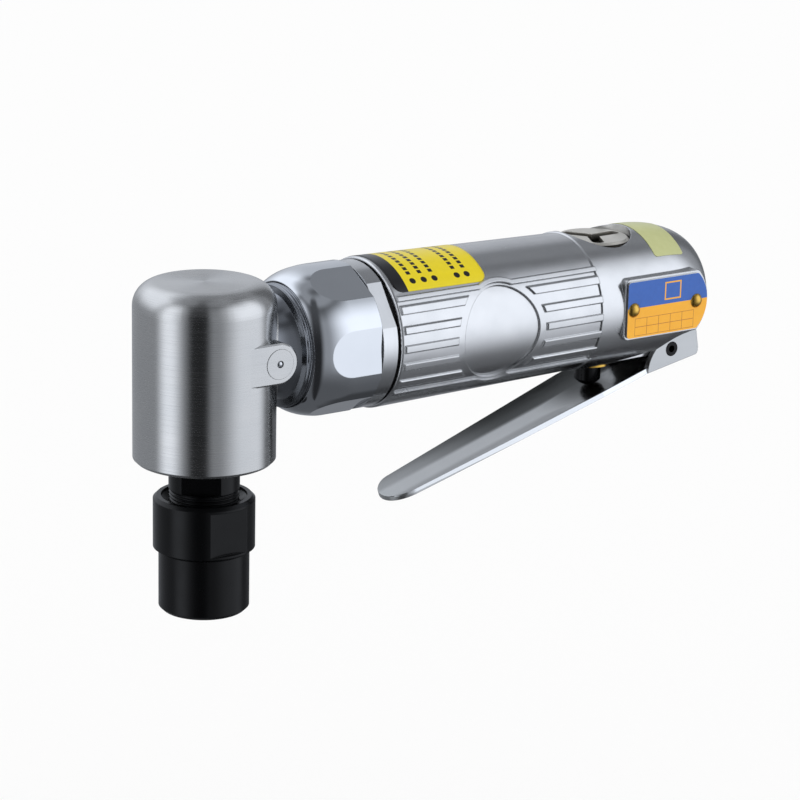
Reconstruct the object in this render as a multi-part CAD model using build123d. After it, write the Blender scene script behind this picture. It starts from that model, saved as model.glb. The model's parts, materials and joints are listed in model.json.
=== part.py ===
from build123d import *
import math
import os

# Right angle air die grinder, in millimetres.
# The spindle stands on Z with the collet's mouth at the origin, facing down.
# The barrel runs along +X at the height axis_z, and the lever hangs below it.

# Clearances
fit = 0.03          # pieces that are pressed or screwed together
slip = 0.06         # pieces that turn or slide in each other
thread_gap = 0.12   # plain stand-ins for threads
end_gap = 0.15      # ends of turning pieces

# Collet, collet nut and spindle
collet_bore_radius = 3.0
collet_bore_depth = 26.0
collet_nose_radius = 4.8
collet_nose_length = 6.0
collet_shoulder_radius = 6.4
collet_shoulder_length = 6.0
collet_taper_length = 7.0
collet_tail_radius = 5.0
collet_tail_length = 13.0
collet_slot_width = 0.6
collet_slot_length = 20.0
collet_slots = 4
nut_lower_radius = 10.25
nut_lower_height = 13.9
nut_upper_radius = 11.5
nut_upper_height = 12.75
nut_flat_distance = 10.5
nut_flat_margin = 1.3
nut_edge = 0.8
nut_recess_radius = 9.7
nut_recess_depth = 1.8
nut_countersink = 1.1
spindle_radius = 8.0
spindle_exposed = 8.25
spindle_flat_distance = 6.65
spindle_flat_height = 5.6
spindle_flat_turn = 53.0    # degrees from the X axis, seen from above
spindle_thread_show = 1.7
thread_depth = 0.45
spindle_neck_radius = 4.4

# Angle head
head_radius = 16.0
head_drop = 23.65
head_rise = 17.1
crown_round = 5.5
head_edge = 0.7
cavity_radius = 11.6
retainer_radius = 13.0
retainer_thickness = 2.2
retainer_recess = 0.2
upper_bearing_rise = 9.0
neck_root_radius = 10.6
neck_flare_radius = 12.4
neck_flare_length = 8.0
neck_thread_radius = 14.2
neck_thread_show = 1.6
neck_end = 28.2
ear_x = 9.7
ear_rise = 0.5
ear_radius = 4.7
ear_face = 15.85
ear_depth = 8.2
ear_bevel = 0.4
grease_radius = 3.4
grease_depth = 3.0
grease_ball_radius = 0.9

# Ball bearings: bore radius, outer radius, width, ball radius and number of balls
lower_bearing = (6.0, 12.0, 6.0, 1.8, 11)
upper_bearing = (3.5, 8.5, 5.0, 1.5, 8)
pinion_bearing = (4.0, 8.0, 5.0, 1.2, 9)
rotor_bearing = (3.0, 7.5, 5.0, 1.4, 8)
race_land = 0.6     # share of the ball's radius between pitch circle and race
pinion_spacer_length = 4.0
circlip_thickness = 0.8
circlip_reach = 0.9

# Bevel gears
module = 1.25
pinion_teeth = 12
gear_teeth = 16
face_width = 4.0
backlash = 0.3
pressure_angle = math.radians(20)
gear_hub_radius = 7.6
gear_seat_radius = 5.0
gear_back = 1.2
key_width = 2.0
key_depth = 1.0
key_length = 4.0
pinion_hub_radius = 5.1
pinion_hub_length = 2.1
drive_flats = 4.0   # across the flats of the hexagonal drive
drive_length = 8.0

# Coupling nut, lock ring and sleeve
coupling_front = 19.6
coupling_length = 16.7
coupling_radius = 17.3
coupling_lip_radius = 14.5
coupling_dome_length = 9.5
coupling_dome_slope = 44.0   # degrees at the lip
coupling_flat_distance = 16.45
coupling_flat_turn = 1.0
coupling_flats = 6
ring_gap = 0.15
ring_width = 3.9
ring_radius = 17.0
ring_flat_distance = 16.05
ring_flat_turn = 36.5
gasket_thickness = 0.8
gasket_radius = 15.9
sleeve_flange = 3.0
sleeve_radius = 13.2
sleeve_bore_radius = 9.5
sleeve_tail = 6.1

# Motor
liner_length = 32.0
liner_bore_radius = 10.6
liner_offset = 0.9
liner_ports = 3
liner_port_radius = 1.8
rotor_radius = 9.6
rotor_shaft_radius = 3.0
vane_count = 4
vane_thickness = 1.4
vane_depth = 4.6
plate_web = 1.5
washer_thickness = 0.6
liner_pin_radius = 0.8
liner_pin_reach = 2.5

# Housing
housing_front_radius = 17.5
housing_rear_radius = 16.6
housing_rim = 0.6
step_setback = 57.45
step_radius = 16.55
step_rise = 0.3
step_run = 0.4
valve_setback = 15.6
dome_setback = 10.9
dome_length = 16.5
dome_drop = 7.0
raise_height = 0.5
panel_start = 0.65
panel_overrun = 0.3     # past the step
panel_top = 11.2
panel_bottom = -12.0
panel_line = 0.8
panel_gap = 1.6
bar_count = 5
bar_pitch = 4.3
bar_height = 1.9
bar_middle = -0.2
bar_bevel = 0.3
bar_gap = 1.85
roundel_setback = 28.5
roundel_radius = 10.9
roundel_sink = 0.5
exhaust_radius = 1.8
exhaust_y = 10.0
exhaust_z = 3.2
silencer_length = 6.0
silencer_recess = 6.0

# Name plate
plate_length = 24.4
plate_top = 7.3
plate_bottom = -6.3
plate_bulge = 3.0
plate_corner = 0.8
plate_setback = 5.5
plate_thickness = 0.5
pad_rise = 0.2
pad_border = 0.6
pad_bevel = 0.15
rivet_inset = 1.9
rivet_radius = 1.75
rivet_height = 1.0
rivet_shank_radius = 0.8
rivet_shank = 3.0

# Air inlet
inlet_radius = 7.4
inlet_proud = 1.0
inlet_depth = 14.5
inlet_thread_radius = 5.72
inlet_thread_length = 12.0
inlet_port_radius = 4.0
screen_radius = 5.0
screen_thickness = 0.6
screen_holes = 6
screen_hole_radius = 0.9

# Throttle valve and regulator
valve_bore_radius = 5.5
plunger_radius = 3.2
plunger_round = 4.0
bushing_proud = -0.4
bushing_top = -8.0
bushing_step = -12.5
bushing_upper_radius = 3.9
bushing_port_radius = 1.5
valve_disc_radius = 4.4
valve_disc_thickness = 2.0
valve_stem_radius = 1.5
plunger_seal_radius = 0.7
plunger_seal_rise = 2.6
spring_radius = 3.4
spring_wire = 0.35
spring_turns = 5
regulator_radius = 9.0
regulator_sink = 4.6
regulator_thickness = 2.9
regulator_stem_length = 8.4
regulator_slot_width = 3.0
regulator_slot_depth = 2.2
regulator_slot_margin = 1.2
regulator_slot_arms = 3
regulator_slot_turn = 3.0
regulator_edge = 0.8
regulator_pin_radius = 0.9
regulator_pin_drop = 2.2
regulator_pin_near = 6.5
regulator_groove = 1.2
regulator_seal_radius = 0.7
regulator_seal_rise = 2.0

# Lever
lever_rest = 16.8   # degrees below the barrel's axis
lever_pin_setback = 18.0
lever_pin_inset = 3.4
lever_pin_radius = 1.75
lever_pin_bore = 0.85
lever_reach = 82.4
lever_tail = 7.7
lever_half_width = 9.9
lever_tip_radius = 6.2
lever_straight = 22.0
lever_sheet = 1.2
lever_trough_radius = 30.0
lever_floor = 3.35
lever_edge_lean = 24.0
lever_edge_drop = 3.4
ear_top = 3.1
ear_round = 8.7
ear_tail_top = 1.6
ear_tail_bottom = -4.6
ear_tail_lean = 0.7
ear_tail_round = 1.4
ear_sheet = 1.4
lug_half_width = 8.2
lug_inner_half_width = 6.8
lug_radius = 2.4
pocket_margin = 1.1
pocket_lead = 16.0
pocket_lead_rise = 3.5

# Heights along the spindle
nut_height = nut_lower_height + nut_upper_height
head_bottom = nut_height + spindle_exposed
axis_z = head_bottom + head_drop
head_top = axis_z + head_rise
spindle_end = collet_nose_length + collet_shoulder_length
taper_end = spindle_end + collet_taper_length
collet_top = taper_end + collet_tail_length
retainer_bottom = head_bottom + retainer_recess
lower_bearing_bottom = retainer_bottom + retainer_thickness
lower_bearing_top = lower_bearing_bottom + lower_bearing[2]
upper_bearing_bottom = axis_z + upper_bearing_rise
spindle_top = upper_bearing_bottom + upper_bearing[2]

# Bevel gear cones, measured from the crossing of the two axes
gear_pitch_radius = module * gear_teeth / 2
pinion_pitch_radius = module * pinion_teeth / 2
cone_distance = math.hypot(gear_pitch_radius, pinion_pitch_radius)
inner_share = (cone_distance - face_width) / cone_distance
dedendum = 1.25 * module

# Places along the barrel
pinion_shoulder = gear_pitch_radius + dedendum * pinion_pitch_radius / cone_distance + pinion_hub_length
pinion_spacer_start = pinion_shoulder + pinion_bearing[2]
pinion_rear_start = pinion_spacer_start + pinion_spacer_length
pinion_circlip_start = pinion_rear_start + pinion_bearing[2]
coupling_rear = coupling_front + coupling_length
ring_front = coupling_rear + ring_gap
ring_rear = ring_front + ring_width
housing_front = ring_rear + gasket_thickness
sleeve_rear = housing_front + sleeve_tail
front_plate_rear = sleeve_rear + rotor_bearing[2] + plate_web
liner_rear = front_plate_rear + liner_length
rear_plate_rear = liner_rear + plate_web + rotor_bearing[2]
bore_end = rear_plate_rear + washer_thickness + fit
valve_x = bore_end + valve_setback
dome_start = valve_x + dome_setback
housing_rear = dome_start + dome_length
inlet_rear = housing_rear + inlet_proud
inlet_front = inlet_rear - inlet_depth
roundel_x = housing_front + roundel_setback
step_x = housing_front + step_setback
plate_front = housing_rear - plate_length - plate_setback
plate_middle = (plate_top + plate_bottom) / 2
rivet_places = (plate_front + rivet_inset, plate_front + plate_length - rivet_inset - plate_bulge / 2)
pin_x = valve_x + lever_pin_setback
motor_bore_radius = sleeve_radius + fit
valve_port_z = (bushing_step + bushing_top) / 2


def housing_radius(x):
    """The barrel's radius: a slim cone up to a small step, then another up to the dome."""
    if x < step_x:
        share = (x - housing_front) / (step_x - housing_front)
        return housing_front_radius + share * (step_radius - housing_front_radius)
    share = (x - step_x) / (dome_start - step_x)
    return step_radius + step_rise + share * (housing_rear_radius - step_radius - step_rise)


# Places across the barrel, which follow the housing's radius
plate_face = max(housing_radius(plate_front), housing_rear_radius) + pad_rise
bushing_bottom = -housing_radius(valve_x) - bushing_proud
regulator_floor = housing_radius(valve_x) - regulator_sink
lever_pin_drop = housing_rear_radius - lever_pin_inset
pin_z = axis_z - lever_pin_drop

barrel_plane = Plane(origin=(0, 0, axis_z), x_dir=(1, 0, 0), z_dir=(0, -1, 0))
barrel_axis = Axis((0, 0, axis_z), (1, 0, 0))


def rod_x(radius, start, end, y=0.0, z=0.0):
    """A rod along the barrel, with z measured from the barrel's axis."""
    return Pos((start + end) / 2, y, axis_z + z) * Rot(0, 90, 0) * Cylinder(radius, end - start)


def rod_y(radius, start, end, x, z):
    """A rod across the tool, with z measured from the barrel's axis."""
    return Pos(x, (start + end) / 2, axis_z + z) * Rot(90, 0, 0) * Cylinder(radius, end - start)


def rod_z(radius, bottom, top, x=0.0, y=0.0):
    return Pos(x, y, (bottom + top) / 2) * Cylinder(radius, top - bottom)


def block(x0, x1, y0, y1, z0, z1):
    return Pos((x0 + x1) / 2, (y0 + y1) / 2, (z0 + z1) / 2) * Box(x1 - x0, y1 - y0, z1 - z0)


def turned_z(*outline):
    """A turned piece on the spindle's axis, from points of radius and height."""
    return revolve(Plane.XZ * make_face(Polyline(*outline, close=True)), Axis.Z)


def torus_z(ring_radius, wire_radius, z, x=0.0):
    return Pos(x, 0, z) * Torus(ring_radius, wire_radius)


def ball_bearing(sizes):
    """Outer race, inner race and balls, on Z from 0 to the bearing's width."""
    bore, outer, width, ball, count = sizes
    pitch = (bore + outer) / 2
    groove = Pos(0, 0, width / 2) * Torus(pitch, ball + slip)
    outer_race = rod_z(outer - fit, 0, width) - rod_z(pitch + race_land * ball, -1, width + 1) - groove
    inner_race = rod_z(pitch - race_land * ball, 0, width) - rod_z(bore, -1, width + 1) - groove
    balls = [Pos(0, 0, width / 2) * Rot(0, 0, 360 * i / count) * Pos(pitch, 0, 0) * Sphere(ball)
             for i in range(count)]
    return outer_race, inner_race, Compound(children=balls)


def place_on_barrel(shapes, start):
    return [Pos(start, 0, axis_z) * Rot(0, 90, 0) * shape for shape in shapes]


def place_on_spindle(shapes, bottom):
    return [Pos(0, 0, bottom) * shape for shape in shapes]


def tooth_outline(teeth, cone_angle):
    """Half thicknesses of one tooth: pairs of height over the pitch line and angle about the gear's axis."""
    pitch = module * teeth / 2 / math.cos(cone_angle)
    base = pitch * math.cos(pressure_angle)
    half_pitch_angle = (math.pi * module / 2 - backlash) / 2 / pitch
    pitch_involute = math.tan(pressure_angle) - pressure_angle
    outline = []
    for share in (-1.4, -1.0, -0.5, 0.0, 0.5, 1.0):
        height = share * module if share > -1 else share * dedendum
        roll = math.acos(min(1.0, base / max(base, pitch + height)))
        involute = math.tan(roll) - roll
        half_angle = half_pitch_angle + pitch_involute - involute
        outline.append((height, half_angle / math.cos(cone_angle)))
    return outline


def bevel_tooth(teeth, cone_angle):
    """One straight tooth on +X of a gear that lies below its cone's tip, the origin."""
    pitch_line = (math.sin(cone_angle), 0.0, -math.cos(cone_angle))
    corners = []
    for height, half_angle in tooth_outline(teeth, cone_angle):
        radius = module * teeth / 2 + height * math.cos(cone_angle)
        depth = cone_distance * math.cos(cone_angle) - height * math.sin(cone_angle)
        corners.append((radius * math.cos(half_angle), radius * math.sin(half_angle), -depth))
    left = [(x, -y, z) for x, y, z in corners]
    loop = corners + left[::-1]
    sections = []
    for share in (1.0, inner_share):
        points = []
        for point in loop:
            along = sum(a * b for a, b in zip(point, pitch_line))
            points.append(tuple(value * share * cone_distance / along for value in point))
        sections.append(make_face(Polyline(*points, close=True)))
    return loft(sections, ruled=True)


def bevel_gear(teeth, mate_teeth, back_outline, turn):
    """A straight bevel gear below the origin: its turned body and a ring of teeth."""
    cone_angle = math.atan2(teeth, mate_teeth)
    root_radius = module * teeth / 2 - dedendum * math.cos(cone_angle)
    root_depth = cone_distance * math.cos(cone_angle) + dedendum * math.sin(cone_angle)
    outline = [(0, -root_depth * inner_share), (root_radius * inner_share, -root_depth * inner_share),
               (root_radius, -root_depth)]
    body = turned_z(*outline, *back_outline(root_radius, root_depth))
    tooth = bevel_tooth(teeth, cone_angle)
    for i in range(teeth):
        body += Rot(0, 0, turn + 360 * i / teeth) * tooth
    return body


def collet_pieces():
    outline = [(0, 0), (collet_nose_radius, 0), (collet_shoulder_radius, collet_nose_length),
               (collet_shoulder_radius, spindle_end), (collet_tail_radius, taper_end),
               (collet_tail_radius, collet_top), (0, collet_top)]
    collet = turned_z(*outline) - rod_z(collet_bore_radius, -1, collet_bore_depth)
    for i in range(collet_slots):
        slot = block(0, collet_shoulder_radius + 1, -collet_slot_width / 2, collet_slot_width / 2,
                     -1, collet_slot_length)
        collet -= Rot(0, 0, 45 + 360 * i / collet_slots) * slot

    outside = [(0, 0), (nut_lower_radius - nut_edge, 0), (nut_lower_radius, nut_edge),
               (nut_lower_radius, nut_lower_height), (nut_upper_radius, nut_lower_height + nut_edge),
               (nut_upper_radius, nut_height - nut_edge), (nut_upper_radius - nut_edge, nut_height),
               (0, nut_height)]
    relief_top = spindle_end - 1.0
    inside = [(0, -1), (collet_nose_radius + end_gap, -1), (collet_nose_radius + end_gap, 0),
              (collet_shoulder_radius + end_gap, collet_nose_length),
              (collet_shoulder_radius + end_gap, relief_top),
              (spindle_radius + thread_gap, relief_top),
              (spindle_radius + thread_gap, nut_height - nut_recess_depth),
              (nut_recess_radius, nut_height - nut_recess_depth + nut_countersink),
              (nut_recess_radius, nut_height + 1),
              (0, nut_height + 1)]
    nut = turned_z(*outside) - turned_z(*inside)
    flat_bottom = nut_lower_height + nut_flat_margin
    flat_top = nut_height - nut_flat_margin
    for side in (-1, 1):
        near = side * nut_flat_distance
        far = side * (nut_upper_radius + 1)
        nut -= block(-nut_upper_radius, nut_upper_radius, min(near, far), max(near, far), flat_bottom, flat_top)
    return collet, nut


def spindle_pieces():
    bearing_bore = lower_bearing[0] - fit
    gear_seat = gear_seat_radius - fit
    gear_top = axis_z - (pinion_pitch_radius + dedendum * gear_pitch_radius / cone_distance) * inner_share
    thread_bottom = nut_height - nut_recess_depth
    thread_top = nut_height + spindle_thread_show
    thread_root = spindle_radius - thread_depth
    outline = [(0, spindle_end), (spindle_radius, spindle_end), (spindle_radius, thread_bottom),
               (thread_root, thread_bottom), (thread_root, thread_top - thread_depth),
               (spindle_radius, thread_top), (spindle_radius, lower_bearing_bottom),
               (bearing_bore, lower_bearing_bottom), (bearing_bore, lower_bearing_top),
               (gear_seat, lower_bearing_top), (gear_seat, gear_top + circlip_thickness + fit),
               (spindle_neck_radius, gear_top + circlip_thickness + fit),
               (spindle_neck_radius, upper_bearing_bottom - fit),
               (upper_bearing[0] - fit, upper_bearing_bottom - fit),
               (upper_bearing[0] - fit, spindle_top), (0, spindle_top)]
    socket = [(0, spindle_end - 1), (collet_shoulder_radius + end_gap, spindle_end - 1),
              (collet_shoulder_radius + end_gap, spindle_end), (collet_tail_radius + end_gap, taper_end),
              (collet_tail_radius + end_gap, collet_top + end_gap), (0, collet_top + end_gap)]
    spindle = turned_z(*outline) - turned_z(*socket)
    flat_bottom = thread_top
    for side in (0, 180):
        flat = block(spindle_flat_distance, spindle_radius + 1, -spindle_radius, spindle_radius,
                     flat_bottom, flat_bottom + spindle_flat_height)
        spindle -= Rot(0, 0, spindle_flat_turn + side) * flat

    key_bottom = lower_bearing_top + fit
    key = block(gear_seat_radius - key_depth, gear_seat_radius + key_depth, -key_width / 2, key_width / 2,
                key_bottom, key_bottom + key_length)
    key_seat = block(gear_seat_radius - key_depth - fit, gear_seat_radius + key_depth + fit,
                     -key_width / 2 - fit, key_width / 2 + fit, key_bottom - fit, key_bottom + key_length + fit)
    key_turn = Rot(0, 0, 180)
    spindle -= key_turn * key_seat

    def gear_back_outline(root_radius, root_depth):
        hub_depth = axis_z - lower_bearing_top - fit
        return [(root_radius, -root_depth - gear_back), (gear_hub_radius, -root_depth - 2 * gear_back),
                (gear_hub_radius, -hub_depth), (0, -hub_depth)]

    gear = Pos(0, 0, axis_z) * bevel_gear(gear_teeth, pinion_teeth, gear_back_outline, 180 / gear_teeth)
    gear -= rod_z(gear_seat_radius, lower_bearing_top - 1, axis_z)
    gear -= key_turn * key_seat
    groove_radius = gear_seat_radius - circlip_reach / 2
    clip_bottom = gear_top + fit / 2
    circlip = rod_z(gear_seat_radius + circlip_reach, clip_bottom, clip_bottom + circlip_thickness)
    circlip -= rod_z(groove_radius, clip_bottom - 1, clip_bottom + circlip_thickness + 1)
    circlip -= block(0, head_radius, -1, 1, clip_bottom - 1, clip_bottom + circlip_thickness + 1)
    groove = rod_z(spindle_radius, clip_bottom - fit, clip_bottom + circlip_thickness + fit)
    groove -= rod_z(groove_radius - fit, clip_bottom - 1, clip_bottom + circlip_thickness + 1)
    spindle -= groove
    return spindle, gear, key_turn * key, circlip


def pinion_piece():
    shaft_end = sleeve_rear - end_gap - 1.5

    def pinion_back_outline(root_radius, root_depth):
        return [(root_radius, -root_depth - 0.5), (pinion_hub_radius, -root_depth - 1.0),
                (pinion_hub_radius, -pinion_shoulder), (pinion_bearing[0] - fit, -pinion_shoulder),
                (pinion_bearing[0] - fit, -shaft_end), (0, -shaft_end)]

    pinion = bevel_gear(pinion_teeth, gear_teeth, pinion_back_outline, 0)
    pinion = Pos(0, 0, axis_z) * Rot(0, -90, 0) * pinion
    socket = extrude(RegularPolygon(drive_flats / 2 + slip, 6, major_radius=False), drive_length + 1)
    pinion -= Pos(shaft_end - drive_length, 0, axis_z) * Rot(0, 90, 0) * socket
    return pinion, shaft_end


def head_pieces():
    round_middle = crown_round * (1 - math.sqrt(0.5))
    outline = [Polyline((0, head_bottom), (head_radius - head_edge, head_bottom),
                        (head_radius, head_bottom + head_edge), (head_radius, head_top - crown_round)),
               ThreePointArc((head_radius, head_top - crown_round),
                             (head_radius - round_middle, head_top - round_middle),
                             (head_radius - crown_round, head_top)),
               Polyline((head_radius - crown_round, head_top), (0, head_top), (0, head_bottom))]
    head = revolve(Plane.XZ * make_face(outline), Axis.Z)
    thread_start = coupling_front - neck_thread_show
    thread_root = neck_thread_radius - thread_depth
    flare_end = thread_start - 0.4
    flare_start = flare_end - neck_flare_length
    neck_middle = (flare_start + neck_flare_length * 0.55, neck_root_radius + 0.45)
    neck_outline = [Polyline((0, 0), (0, neck_root_radius), (flare_start, neck_root_radius)),
                    ThreePointArc((flare_start, neck_root_radius), neck_middle, (flare_end, neck_flare_radius)),
                    Polyline((flare_end, neck_flare_radius), (thread_start, thread_root),
                             (coupling_front, thread_root), (coupling_front + thread_depth, neck_thread_radius),
                             (neck_end, neck_thread_radius), (neck_end, 0), (0, 0))]
    head += revolve(barrel_plane * make_face(neck_outline), barrel_axis)
    ear = rod_y(ear_radius, -ear_face, -ear_face + ear_depth, ear_x, ear_rise)
    ear_z = axis_z + ear_rise
    ear += block(0, ear_x, -ear_face, -ear_face + ear_depth, ear_z - ear_radius, ear_z + ear_radius)
    head += chamfer(ear.faces().sort_by(Axis.Y)[0].edges(), ear_bevel)

    head -= rod_z(retainer_radius + fit, head_bottom - 1, lower_bearing_bottom)
    head -= rod_z(lower_bearing[1], head_bottom - 1, lower_bearing_top)
    head -= rod_z(cavity_radius, head_bottom, upper_bearing_bottom)
    head -= rod_z(upper_bearing[1], axis_z, spindle_top + end_gap)
    pinion_room = pinion_pitch_radius + module + end_gap
    head -= rod_x(pinion_room, 0, pinion_shoulder)
    head -= rod_x(pinion_bearing[1], 0, neck_end + 1)
    clip_radius = pinion_bearing[1] + circlip_reach / 2
    clip_end = pinion_circlip_start + circlip_thickness
    head -= rod_x(clip_radius + fit, pinion_circlip_start - fit, clip_end + fit)
    head -= rod_y(grease_radius + fit, -ear_face - 1, -ear_face + grease_depth, ear_x, ear_rise)

    retainer = rod_z(retainer_radius, retainer_bottom, lower_bearing_bottom)
    retainer -= rod_z(spindle_radius + end_gap, head_bottom - 1, axis_z)
    for i in range(2):
        hole = rod_z(0.9, retainer_bottom - 1, retainer_bottom + retainer_thickness / 2,
                     (retainer_radius + spindle_radius) / 2)
        retainer -= Rot(0, 0, 180 * i) * hole

    ball_y = -ear_face - 0.25 + grease_ball_radius
    fitting = rod_y(grease_radius, -ear_face - 0.1, -ear_face + grease_depth - fit, ear_x, ear_rise)
    fitting -= rod_y(grease_ball_radius * 0.92, -ear_face - 1, ball_y, ear_x, ear_rise)
    fitting -= Pos(ear_x, ball_y, ear_z) * Sphere(grease_ball_radius + fit)
    ball = Pos(ear_x, ball_y, ear_z) * Sphere(grease_ball_radius)

    spacer = rod_x(pinion_bearing[1] - fit, pinion_spacer_start, pinion_rear_start)
    spacer -= rod_x(pinion_bearing[1] - 1.0, pinion_spacer_start - 1, pinion_rear_start + 1)
    circlip = rod_x(clip_radius, pinion_circlip_start, clip_end)
    circlip -= rod_x(pinion_bearing[1] - circlip_reach, pinion_circlip_start - 1, clip_end + 1)
    circlip -= block(pinion_circlip_start - 1, clip_end + 1, -1, 1, axis_z - head_radius, axis_z)
    return head, retainer, fitting, ball, spacer, circlip


def coupling_pieces():
    dome_end = coupling_front + coupling_dome_length
    rise = coupling_radius - coupling_lip_radius
    share = rise / coupling_dome_length
    start = math.asin(share / (math.tan(math.radians(coupling_dome_slope)) - share))
    dome_reach = coupling_dome_length / math.cos(start)
    dome_height = rise / (1 - math.sin(start))
    flange_start = neck_end + sleeve_flange + end_gap
    thread_bore = neck_thread_radius + thread_gap
    outline = [Polyline((coupling_rear, sleeve_radius + fit), (flange_start, sleeve_radius + fit),
                        (flange_start, thread_bore), (coupling_front, thread_bore),
                        (coupling_front, coupling_lip_radius)),
               EllipticalCenterArc((dome_end, coupling_radius - dome_height), dome_reach, dome_height, 90,
                                   arc_size=90 - math.degrees(start)),
               Polyline((dome_end, coupling_radius), (coupling_rear, coupling_radius),
                        (coupling_rear, sleeve_radius + fit))]
    nut = revolve(barrel_plane * make_face(outline), barrel_axis)
    flat = block(coupling_front - 1, coupling_rear + 1, -coupling_radius, coupling_radius,
                 coupling_flat_distance, coupling_radius + 1)
    for i in range(coupling_flats):
        nut -= Pos(0, 0, axis_z) * Rot(90 - coupling_flat_turn + 360 * i / coupling_flats, 0, 0) * flat

    ring = rod_x(ring_radius, ring_front, ring_rear) - rod_x(sleeve_radius + fit, ring_front - 1, ring_rear + 1)
    flat = block(ring_front - 1, ring_rear + 1, -ring_radius, ring_radius, ring_flat_distance, ring_radius + 1)
    for i in range(2):
        ring -= Pos(0, 0, axis_z) * Rot(90 - ring_flat_turn + 180 * i, 0, 0) * flat

    gasket = rod_x(gasket_radius, ring_rear, housing_front)
    gasket -= rod_x(sleeve_radius + fit, ring_rear - 1, housing_front + 1)
    sleeve = rod_x(neck_thread_radius - thread_gap, neck_end, neck_end + sleeve_flange)
    sleeve += rod_x(sleeve_radius, neck_end, sleeve_rear)
    sleeve -= rod_x(sleeve_bore_radius, neck_end - 1, sleeve_rear + 1)
    return nut, ring, gasket, sleeve


def motor_pieces():
    plate_radius = sleeve_radius - fit
    pin_z_offset = (plate_radius + liner_bore_radius - liner_offset) / 2

    def dowel(radius, reach):
        return rod_x(radius, front_plate_rear - reach, front_plate_rear + reach, 0, -pin_z_offset)

    front_plate = rod_x(plate_radius, sleeve_rear, front_plate_rear)
    front_plate -= rod_x(rotor_bearing[1], sleeve_rear - 1, sleeve_rear + rotor_bearing[2])
    front_plate -= rod_x(rotor_shaft_radius + 0.5, sleeve_rear, front_plate_rear + 1)
    front_plate -= dowel(liner_pin_radius + fit, liner_pin_reach + fit)
    liner = rod_x(plate_radius, front_plate_rear, liner_rear)
    liner -= rod_x(liner_bore_radius, front_plate_rear - 1, liner_rear + 1, 0, liner_offset)
    liner -= dowel(liner_pin_radius + fit, liner_pin_reach + fit)
    for i in range(liner_ports):
        port_x = front_plate_rear + liner_length * (i + 1) / (liner_ports + 1)
        liner -= rod_y(liner_port_radius, 0, plate_radius + 1, port_x, 0)
    rear_plate = rod_x(plate_radius, liner_rear, rear_plate_rear)
    rear_plate -= rod_x(rotor_bearing[1], liner_rear + plate_web, rear_plate_rear + 1)
    rear_plate -= rod_x(rotor_shaft_radius + 0.5, liner_rear - 1, rear_plate_rear)
    rear_plate -= rod_x(bushing_port_radius, liner_rear - 1, rear_plate_rear + 1, 0, valve_port_z)
    washer = rod_x(rotor_bearing[1] - fit, rear_plate_rear, rear_plate_rear + washer_thickness)
    washer -= rod_x(rotor_bearing[1] - 1.6, rear_plate_rear - 1, rear_plate_rear + washer_thickness + 1)
    return front_plate, liner, rear_plate, dowel(liner_pin_radius, liner_pin_reach), washer


def rotor_pieces(shaft_end):
    start = front_plate_rear + end_gap
    end = liner_rear - end_gap
    shaft_start = shaft_end + 0.5
    rotor = rod_x(rotor_radius, start, end)
    rotor += rod_x(rotor_shaft_radius - fit, shaft_start, rear_plate_rear - fit)
    drive = extrude(RegularPolygon(drive_flats / 2, 6, major_radius=False), drive_length)
    rotor += Pos(shaft_start - drive_length + 0.5, 0, axis_z) * Rot(0, 90, 0) * drive
    vanes = []
    for i in range(vane_count):
        turn = Pos(0, 0, axis_z) * Rot(45 + 360 * i / vane_count, 0, 0)
        half = vane_thickness / 2
        inner = rotor_radius - vane_depth
        rotor -= turn * block(start - 1, end + 1, -half - fit, half + fit, inner - fit, rotor_radius + 1)
        vanes.append(turn * block(start, end, -half, half, inner, rotor_radius - slip))
    return rotor, Compound(children=vanes)


def housing_outline(grow):
    """The barrel's turned outline: two slim cones with a small step between them, and a domed rear end."""
    front = housing_front_radius + grow
    rear = housing_rear_radius + grow
    rim_middle = housing_rim * (1 - math.sqrt(0.5))
    return [Polyline((housing_front, 0), (housing_front, front - housing_rim)),
            ThreePointArc((housing_front, front - housing_rim),
                          (housing_front + rim_middle, front - rim_middle), (housing_front + housing_rim, front)),
            Polyline((housing_front + housing_rim, front), (step_x, step_radius + grow),
                     (step_x + step_run, step_radius + step_rise + grow), (dome_start, rear)),
            EllipticalCenterArc((dome_start, rear - dome_drop), dome_length, dome_drop, 0, arc_size=90),
            Polyline((housing_rear, rear - dome_drop), (housing_rear, 0), (housing_front, 0))]


def raised_marks():
    """Outlines of the panel line and the bars, drawn on the XZ plane of the barrel."""
    start = housing_front + panel_start
    length = step_x + step_run + panel_overrun - start
    centre = start + length / 2
    middle = (panel_top + panel_bottom) / 2
    height = panel_top - panel_bottom
    roundel = Pos(roundel_x, middle)
    line = Pos(centre, middle) * Rectangle(length, height) + roundel * Circle(roundel_radius + panel_gap)
    line -= Pos(centre, middle) * Rectangle(length + 2, height - 2 * panel_line)
    line -= roundel * Circle(roundel_radius + panel_gap - panel_line)
    bars = Sketch()
    for i in range(bar_count):
        bar_z = bar_middle + bar_pitch * (i - (bar_count - 1) / 2)
        bars += Pos(centre, bar_z) * Rectangle(length, bar_height)
    bars -= roundel * Circle(roundel_radius + bar_gap)
    return line, bars, roundel * Circle(roundel_radius)


def plate_outline(border):
    """The name plate's outline: straight at the front, bowed at the rear."""
    start = plate_front - border
    end = plate_front + plate_length + border - plate_bulge
    top = plate_top + border
    bottom = plate_bottom - border
    outline = make_face([Polyline((end, bottom), (start, bottom), (start, top), (end, top)),
                         ThreePointArc((end, top), (end + plate_bulge, (top + bottom) / 2), (end, bottom))])
    return fillet(outline.vertices(), plate_corner + border)


def across(sketch, near, far):
    """A sketch of the barrel's XZ plane pushed through from y = -far to y = -near."""
    return Pos(0, -near, 0) * extrude(barrel_plane * sketch, far - near)


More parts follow.
